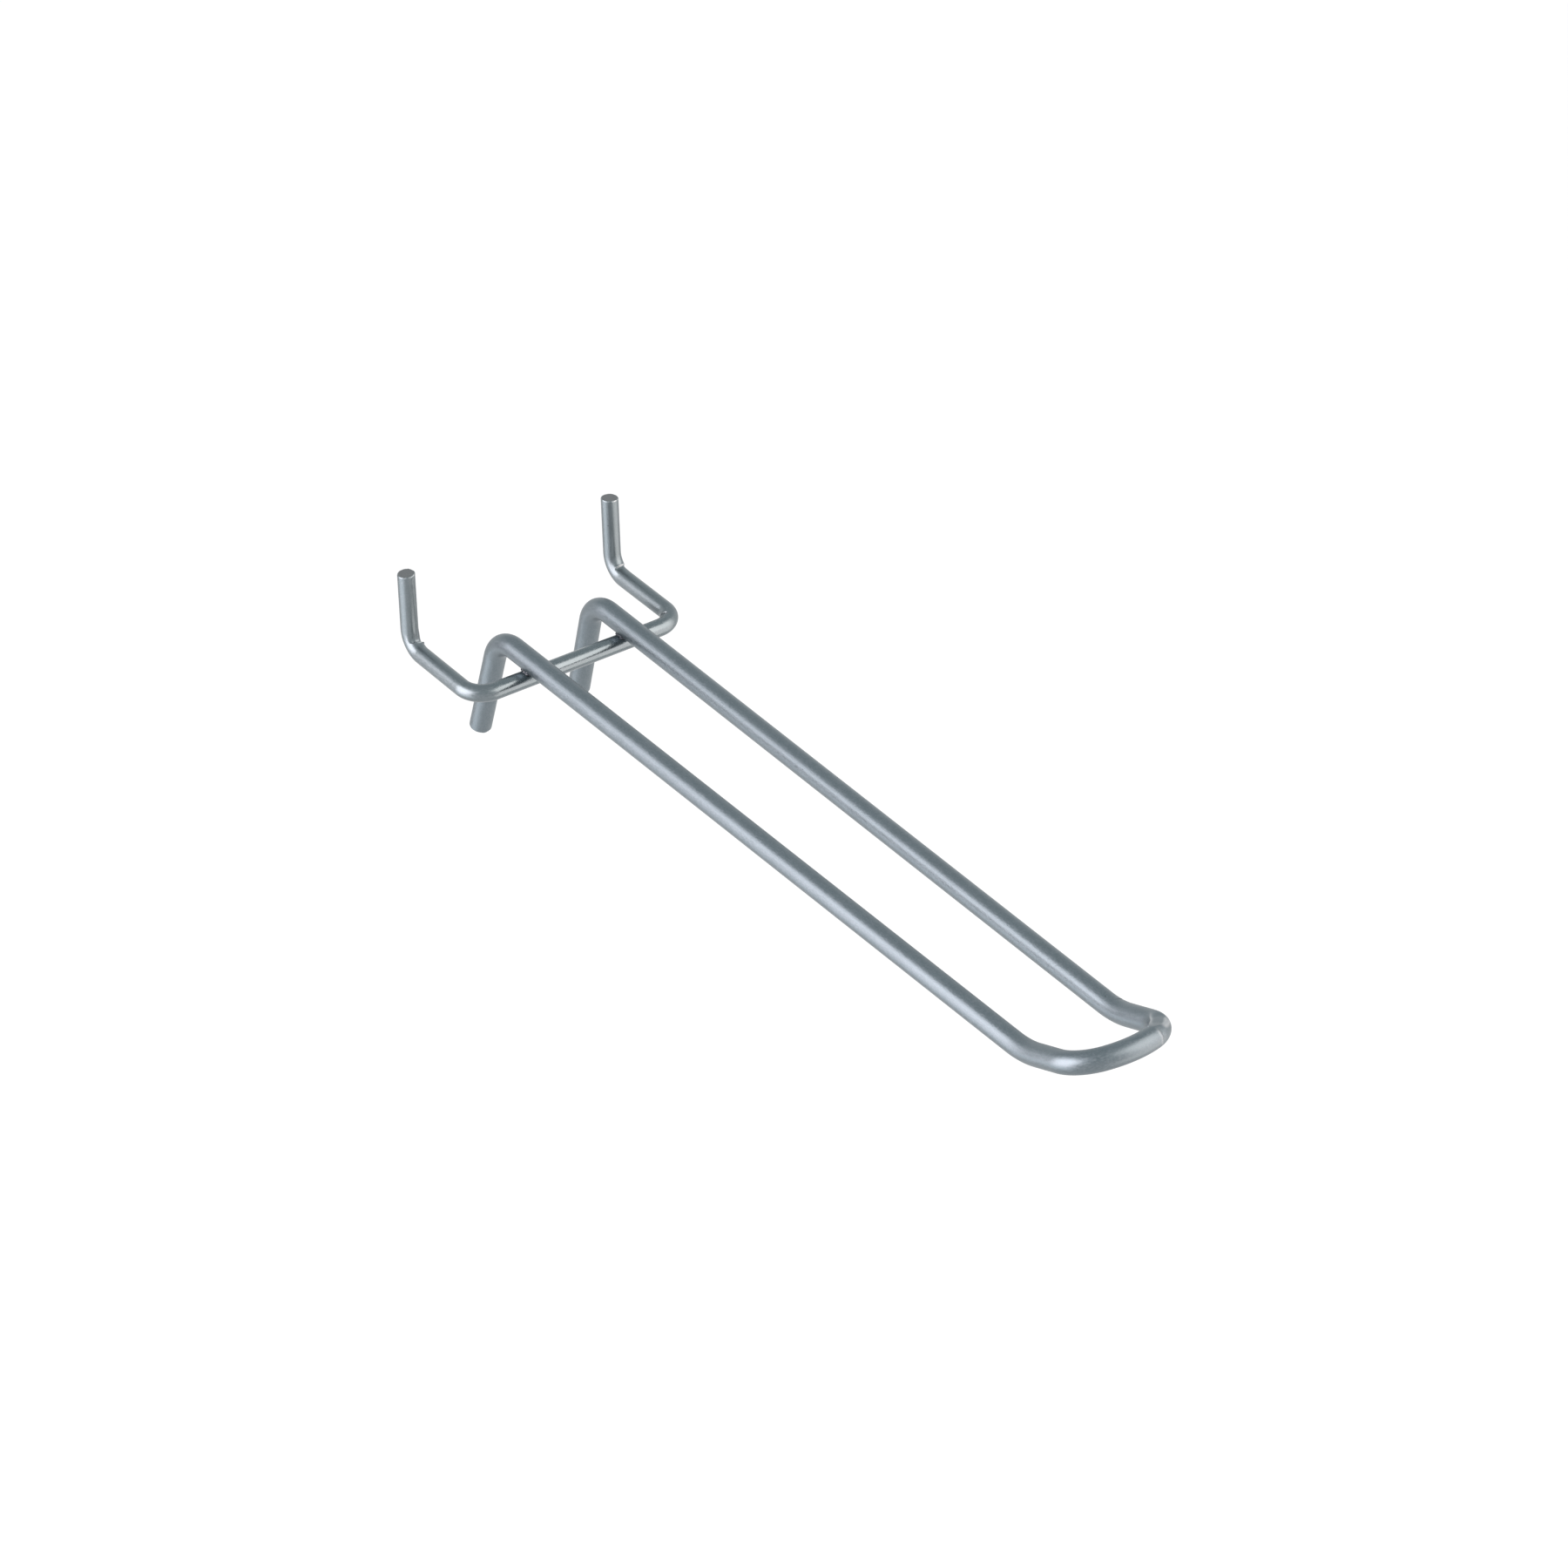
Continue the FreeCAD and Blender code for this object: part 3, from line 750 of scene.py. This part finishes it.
class HOOK_OT_loop_wire(bpy.types.Operator):
    """Sweep the thick wire and give it its tool marks and plating"""

    bl_idname = "hook.loop_wire"
    bl_label = "Thick wire"

    def execute(self, context):
        scene = context.scene
        loop, pegs, welds, finish = scene.hook_loop, scene.hook_pegs, scene.hook_welds, scene.hook_finish
        route = loop_route(loop, pegs)
        material = plated(
            "loop_zinc",
            finish.loop_colour,
            finish.loop_roughness,
            crystal=0.28 * MM,
            lines=0.1,
            relief=0.028 * MM,
            finish=finish,
        )
        piece = swept_wire("thick_wire", route, loop, material)
        wire = Wire(piece, loop.wire_diameter / 2)
        wire.cut_ends(loop.end_rounding, slope=0.03 * MM, wander=0.4)
        nose = route[0][3]
        die_flat(
            wire,
            nose + Vector((-2.0, 1.0, 0.3)) * MM,
            Vector((0.08, 0.24, 0.96)),
            depth=0.45 * MM,
            lip=0.06 * MM,
            burred=Vector((-0.5, 0.85, 0)),
            reach=1.2 * MM,
            taper=3.6 * MM,
        )
        die_flat(
            wire,
            nose + Vector((-2.2, 0.1, 0.0)) * MM,
            Vector((0.59, -0.11, 0.8)),
            depth=0.1 * MM,
            lip=0.02 * MM,
            burred=Vector((0.85, -0.5, 0)),
            reach=1.0 * MM,
            taper=1.3 * MM,
            painted_glint=0.9,
        )
        tool_step(
            wire,
            nose + Vector((-5.5, -1.0, 0.3)) * MM,
            Vector((0.3, -0.8, 0.5)),
            forwards=-1,
            depth=0.12 * MM,
            lip=0.03 * MM,
            run_out=5 * MM,
            spread=math.radians(60),
            edge=0.35 * MM,
            painted_glint=0.35,
        )
        rise = route[0][2]
        nick(
            wire,
            rise + UP * 0.4 * MM,
            Vector((0.44, 0.16, 0.88)),
            depth=0.22 * MM,
            width=0.16 * MM,
            spread=math.radians(20),
        )
        for side in (-1, 1):
            wire.warm(crossing(loop, pegs, side), welds.arm_heat_reach)
        wire.close()
        keep(piece, "loop_wire")
        return {"FINISHED"}


class HOOK_OT_peg_wire(bpy.types.Operator):
    """Sweep the thin wire and give it its tool marks and plating"""

    bl_idname = "hook.peg_wire"
    bl_label = "Thin wire"

    def execute(self, context):
        scene = context.scene
        loop, pegs, welds, finish = scene.hook_loop, scene.hook_pegs, scene.hook_welds, scene.hook_finish
        route = peg_route(loop, pegs)
        material = plated(
            "peg_zinc",
            finish.peg_colour,
            finish.peg_roughness,
            crystal=0.22 * MM,
            lines=0.2,
            relief=0.011 * MM,
            finish=finish,
        )
        piece = swept_wire("thin_wire", route, pegs, material)
        wire = Wire(piece, pegs.wire_diameter / 2)
        wire.cut_ends(pegs.end_rounding, slope=0.12 * MM, wander=0.5)
        tool_step(
            wire,
            upright_bend(pegs, -1, 0.39),
            Vector((0.35, -0.35, 0.75)),
            forwards=1,
            depth=0.34 * MM,
            lip=0.18 * MM,
            run_out=3.4 * MM,
            spread=math.radians(84),
            skew=(-0.6 * MM, 0, 0),
            ragged=0.4 * MM,
            painted_glint=0.1,
        )
        tool_step(
            wire,
            upright_bend(pegs, 1, 0.44),
            Vector((0.4, -0.5, 0.65)),
            forwards=1,
            depth=0.26 * MM,
            lip=0.1 * MM,
            run_out=2.6 * MM,
            spread=math.radians(72),
            skew=(-0.25 * MM, 0, 0),
            edge=0.19 * MM,
            painted_glint=1.6,
        )
        for share, depth in ((0.34, 0.14), (0.6, 0.2)):
            tool_step(
                wire,
                crossbar_corner(loop, pegs, 1, share),
                Vector((-0.6, 0.5, 0.6)),
                forwards=1,
                depth=depth * MM,
                lip=0.03 * MM,
                run_out=1.3 * MM,
                spread=math.radians(55),
                skew=(0, 0, 1.6 * MM),
                painted_glint=0.35,
            )
        wire.polish_between(pegs.peg_spacing / 2 - pegs.corner_radius / 2, blend=pegs.corner_radius)
        for side in (-1, 1):
            wire.warm(crossing(loop, pegs, side), welds.heat_reach)
        wire.close()
        keep(piece, "peg_wire")
        return {"FINISHED"}


class HOOK_OT_welds(bpy.types.Operator):
    """Make the lumpy flash of the two welds"""

    bl_idname = "hook.welds"
    bl_label = "Welds"

    def execute(self, context):
        scene = context.scene
        loop, pegs, welds = scene.hook_loop, scene.hook_pegs, scene.hook_welds
        material = weld_material(scene.hook_finish)
        for side, name in ((-1, "left"), (1, "right")):
            middle = crossing(loop, pegs, side)
            mesh = bmesh.new()
            bmesh.ops.create_icosphere(mesh, subdivisions=5, radius=1.0)
            for vert in mesh.verts:
                out = vert.co.normalized()
                coarse = noise.noise(out * COARSE_LUMPS + middle * 400)
                fine = noise.noise(out * FINE_LUMPS + middle * 700)
                flat = math.hypot(out.x, out.y)
                reach = welds.radius + welds.lump * (coarse + 0.5 * fine) * flat
                vert.co = middle + Vector((out.x * reach, out.y * reach, out.z * welds.thickness / 2))
            for face in mesh.faces:
                face.smooth = True
            data = bpy.data.meshes.new(f"{name}_weld")
            mesh.to_mesh(data)
            mesh.free()
            data.materials.append(material)
            piece = bpy.data.objects.new(f"{name}_weld", data)
            scene.collection.objects.link(piece)
            keep(piece, f"weld_{name}")
        return {"FINISHED"}


# Stage

# The paper's glow, how much more of it the camera sees, and how much of the paper's look it makes up
PAPER_GLOW, CAMERA_GLOW, GLOW_SHARE = 0.95, 0.08, 0.8

# The room's tones, and the height, as a sine, at which the upper one is reached
HORIZON_TONE, SKY_TONE, SKY_HEIGHT = (1.17, 1.16, 1.16, 1), (0.7, 0.76, 0.78, 1), 0.45

# Where the camera looks, in millimetres: a point of the hook, and how far to its left and above it
AIM_POINT = Vector((0, -99.396, 4.05))
AIM_LEFT, AIM_ABOVE = 3.175, 6.712

# Each softbox: name, azimuth from +X and elevation in degrees, distance in metres, width and height as seen
# from the hook in degrees, brightness, tint
SOFTBOXES = (
    ("upper_left_softbox", 165.7, 26.2, 1.3, 59, 36, 4.6, (1.1, 1.0, 1.02)),
    ("lower_left_softbox", 165.0, -4.0, 1.3, 47, 23, 4.1, (1.12, 1.0, 1.035)),
    ("floor_left_softbox", 165.0, -30.0, 0.75, 60, 28, 1.25, (0.97, 1.0, 1.05)),
    ("upper_right_softbox", 317.4, 35.0, 1.3, 58, 44, 2.4, (1.12, 1.0, 0.935)),
    ("lower_right_softbox", 317.4, -5.0, 1.3, 58, 36, 1.42, (1.15, 1.0, 0.945)),
    ("floor_right_softbox", 310.0, -36.0, 0.75, 60, 26, 1.28, (1.13, 1.0, 0.915)),
)


def paper_material(stage):
    """Paper that glows where the camera sees it, straight or in the metal, and is plain for other light."""
    material, tree = cleared(bpy.data.materials, "floor_paper")
    paper = add(tree, "ShaderNodeBsdfDiffuse", {"Color": (*stage.floor_colour, 1)}).outputs[0]
    rays = add(tree, "ShaderNodeLightPath").outputs
    glow = math_node(tree, "MULTIPLY_ADD", rays["Is Camera Ray"], CAMERA_GLOW, PAPER_GLOW)
    white = add(tree, "ShaderNodeEmission", {"Color": (1, 1, 1, 1), "Strength": glow}).outputs[0]
    lit = add(tree, "ShaderNodeMixShader", {0: GLOW_SHARE, 1: paper, 2: white}).outputs[0]
    seen = math_node(tree, "MAXIMUM", rays["Is Camera Ray"], rays["Is Glossy Ray"])
    seen = math_node(tree, "MAXIMUM", seen, rays["Is Transmission Ray"])
    shown = add(tree, "ShaderNodeMixShader", {0: seen, 1: paper, 2: lit}).outputs[0]
    add(tree, "ShaderNodeOutputMaterial", {"Surface": shown})
    return material


def add_floor(scene, stage):
    half = stage.floor_reach
    corners = [(x * half, y * half, -stage.floor_drop) for x, y in ((-1, -1), (1, -1), (1, 1), (-1, 1))]
    mesh = bpy.data.meshes.new("floor")
    mesh.from_pydata(corners, [], [(0, 1, 2, 3)])
    mesh.materials.append(paper_material(stage))
    floor = bpy.data.objects.new("floor", mesh)
    scene.collection.objects.link(floor)


def studio_world():
    """A room that is bright from the horizon down, and cooler and dimmer above."""
    world, tree = cleared(bpy.data.worlds, "studio")
    way = add(tree, "ShaderNodeTexCoord").outputs["Generated"]
    height = add(tree, "ShaderNodeSeparateXYZ", {0: way}).outputs[2]
    climb = map_range(tree, height, 0.0, SKY_HEIGHT)
    tone = blend_colour(tree, climb, HORIZON_TONE, SKY_TONE)
    sky = add(tree, "ShaderNodeBackground", {"Color": tone, "Strength": 1.0}).outputs[0]
    add(tree, "ShaderNodeOutputWorld", {"Surface": sky})
    return world


def add_softbox(scene, middle, name, azimuth, elevation, distance, wide, tall, brightness, tint):
    lamp = bpy.data.lights.new(name, "AREA")
    lamp.shape = "RECTANGLE"
    lamp.size = 2 * distance * math.tan(math.radians(wide / 2))
    lamp.size_y = 2 * distance * math.tan(math.radians(tall / 2))
    lamp.energy = brightness * math.pi * lamp.size * lamp.size_y
    lamp.color = tint
    away = Euler((0, -math.radians(elevation), math.radians(azimuth))).to_matrix() @ ACROSS
    holder = bpy.data.objects.new(name, lamp)
    holder.location = middle + away * distance
    holder.rotation_euler = away.to_track_quat("Z", "Y").to_euler()
    holder.visible_camera = False
    scene.collection.objects.link(holder)


def add_camera(scene, stage):
    across = Vector((math.cos(stage.azimuth), math.sin(stage.azimuth), 0))
    level = Vector((math.sin(stage.azimuth), -math.cos(stage.azimuth), 0))
    back = level * math.cos(stage.elevation) + UP * math.sin(stage.elevation)
    above = back.cross(across)
    aim = AIM_POINT * MM - across * AIM_LEFT * MM + above * AIM_ABOVE * MM
    turn = Matrix((across, above, back)).transposed().to_4x4()
    camera = bpy.data.objects.new("camera", bpy.data.cameras.new("camera"))
    camera.data.sensor_width = 36.0
    camera.data.lens = stage.lens
    camera.data.clip_start = 0.1
    camera.data.clip_end = 30.0
    camera.matrix_world = Matrix.Translation(aim + back * stage.distance) @ turn
    scene.collection.objects.link(camera)
    scene.camera = camera


class HOOK_OT_stage(bpy.types.Operator):
    """Set up the floor, the world, the lamps and the camera"""

    bl_idname = "hook.stage"
    bl_label = "Stage"

    def execute(self, context):
        scene = context.scene
        low, high = CAD_BOX
        middle = Vector((0, (low.y + high.y) / 2, 0))
        add_floor(scene, scene.hook_stage)
        scene.world = studio_world()
        for softbox in SOFTBOXES:
            add_softbox(scene, middle, *softbox)
        add_camera(scene, scene.hook_stage)
        scene.view_settings.view_transform = "Standard"
        return {"FINISHED"}


# Add-on


class HOOK_PT_panel(bpy.types.Panel):
    """The hook's pieces and stage, in the order in which they are made"""

    bl_idname = "HOOK_PT_panel"
    bl_label = "Pegboard hook"
    bl_space_type = "VIEW_3D"
    bl_region_type = "UI"
    bl_category = "Hook"

    def draw(self, context):
        for operator in OPERATORS:
            self.layout.operator(operator.bl_idname)


GROUPS = {
    "hook_loop": LoopWireSizes,
    "hook_pegs": PegWireSizes,
    "hook_welds": WeldSizes,
    "hook_finish": FinishValues,
    "hook_stage": StageValues,
}
OPERATORS = (HOOK_OT_loop_wire, HOOK_OT_peg_wire, HOOK_OT_welds, HOOK_OT_stage)


def register():
    for kind in (*GROUPS.values(), *OPERATORS, HOOK_PT_panel):
        bpy.utils.register_class(kind)
    for name, kind in GROUPS.items():
        setattr(bpy.types.Scene, name, bpy.props.PointerProperty(type=kind))


def unregister():
    for name in GROUPS:
        delattr(bpy.types.Scene, name)
    for kind in (HOOK_PT_panel, *reversed(OPERATORS), *reversed(GROUPS.values())):
        bpy.utils.unregister_class(kind)


def main():
    register()
    bpy.ops.hook.loop_wire()
    bpy.ops.hook.peg_wire()
    bpy.ops.hook.welds()
    bpy.ops.hook.stage()


if __name__ == "__main__":
    main()
